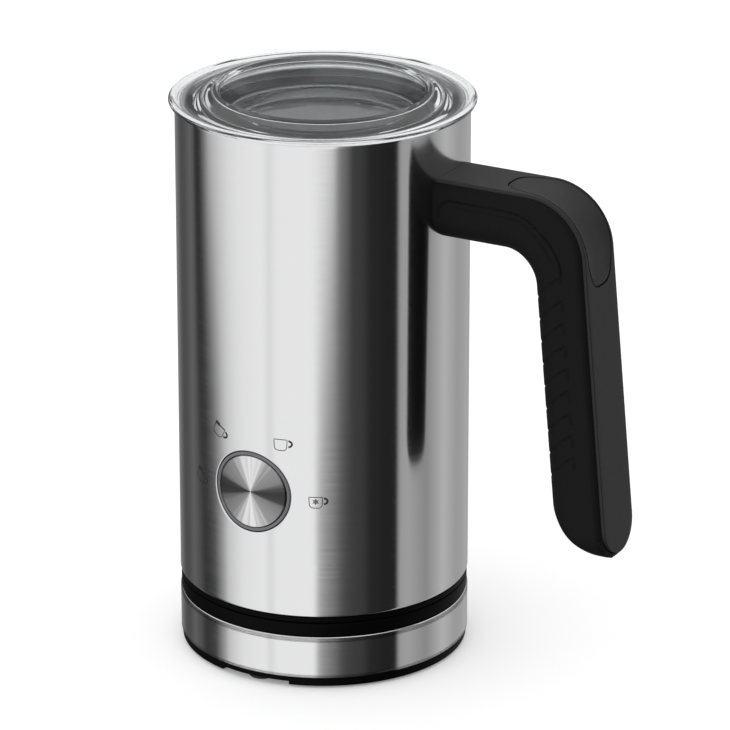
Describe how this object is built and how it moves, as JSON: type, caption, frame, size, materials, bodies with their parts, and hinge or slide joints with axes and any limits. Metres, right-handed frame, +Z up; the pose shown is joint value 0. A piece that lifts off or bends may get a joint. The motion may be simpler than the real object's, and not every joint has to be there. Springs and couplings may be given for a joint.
{
  "type": "milk frother",
  "caption": "Cordless milk frother: brushed steel jug with a black side handle, front button, clear dished lid, magnetic whisk and a round powered base.",
  "frame": {"origin": "on the jug's axis, in the plane that the feet stand on", "axes": "+Z up along the jug's axis, -Y towards the front with the button, +X towards the handle"},
  "size_m": [0.1672, 0.108, 0.1995],
  "materials": {
    "brushed_steel": "finely brushed stainless steel",
    "plain_steel": "plain satin steel",
    "coated_aluminium": "grey non-stick coating on drawn aluminium",
    "black_plastic": "satin black moulded plastic",
    "charcoal_plastic": "fine-grained charcoal moulded plastic",
    "soft_grip": "soft-touch overmoulded elastomer",
    "rubber": "matt rubber",
    "silicone": "translucent silicone",
    "clear_plastic": "clear polished plastic",
    "smoked_plastic": "smoked light guide",
    "copper": "plated contact metal",
    "magnet": "nickel-plated magnet",
    "circuit_board": "green solder mask",
    "nylon": "natural moulded nylon"
  },
  "bodies": {
    "base": {"base_foot_1": "rubber", "base_foot_2": "rubber", "base_foot_3": "rubber", "base_foot_4": "rubber", "base_bottom_cover": "black_plastic", "base_screw_1": "plain_steel", "base_screw_2": "plain_steel", "base_screw_3": "plain_steel", "base_band": "brushed_steel", "base_top_cover": "black_plastic", "cord_gland": "rubber", "base_connector": "black_plastic", "base_contact_ring": "copper", "base_contact_sleeve": "copper"},
    "jug_connector": {"jug_connector": "black_plastic", "jug_contact_pin": "copper", "jug_contact_ring": "copper"},
    "jug": {"jug_base_cover": "black_plastic", "jug_base_screw_1": "plain_steel", "jug_base_screw_2": "plain_steel", "jug_base_screw_3": "plain_steel", "outer_shell": "brushed_steel", "inner_pot": "coated_aluminium", "rim_ring": "nylon", "spindle": "plain_steel", "motor_bracket": "nylon", "motor": "plain_steel", "heater_ring": "plain_steel", "thermostat": "nylon", "ntc_sensor": "plain_steel", "power_board": "circuit_board", "relay": "black_plastic", "capacitor": "nylon", "control_board": "circuit_board", "tact_switch": "black_plastic", "control_ribbon": "rubber", "light_ring": "smoked_plastic", "button_housing": "black_plastic", "handle_grip": "soft_grip", "handle_cover": "charcoal_plastic", "thumb_rest": "charcoal_plastic", "handle_core": "nylon", "handle_bracket": "plain_steel", "handle_screw_1": "plain_steel", "handle_screw_2": "plain_steel"},
    "lid": {"lid_cover": "clear_plastic", "lid_seal": "silicone"},
    "rotor": {"motor_shaft": "plain_steel", "magnet_carrier": "nylon", "drive_magnet_1": "magnet", "drive_magnet_2": "magnet", "drive_magnet_3": "magnet", "drive_magnet_4": "magnet"},
    "whisk": {"whisk_carrier": "black_plastic", "whisk_magnet_1": "magnet", "whisk_magnet_2": "magnet", "whisk_coil": "plain_steel"},
    "button": {"button_cap": "brushed_steel"}
  },
  "joints": [
    {"name": "jug_lift", "type": "slide", "parent": "base", "child": "jug_connector", "axis": [0, 0, 1], "range_m": [0, 0.06]},
    {"name": "jug_turn", "type": "hinge", "parent": "jug_connector", "child": "jug", "pos_m": [0, 0, 0.0244], "axis": [0, 0, 1], "continuous": true},
    {"name": "lid_lift", "type": "slide", "parent": "jug", "child": "lid", "axis": [0, 0, 1], "range_m": [0, 0.045]},
    {"name": "rotor_spin", "type": "hinge", "parent": "jug", "child": "rotor", "pos_m": [0, 0, 0.085], "axis": [0, 0, 1], "continuous": true},
    {"name": "whisk_lift", "type": "slide", "parent": "rotor", "child": "whisk", "axis": [0, 0, 1], "range_m": [0, 0.08]},
    {"name": "button_press", "type": "slide", "parent": "jug", "child": "button", "axis": [0, 1, 0], "range_m": [0, 0.001], "stiffness_N_per_m": 800, "springref_m": -0.002}
  ]
}
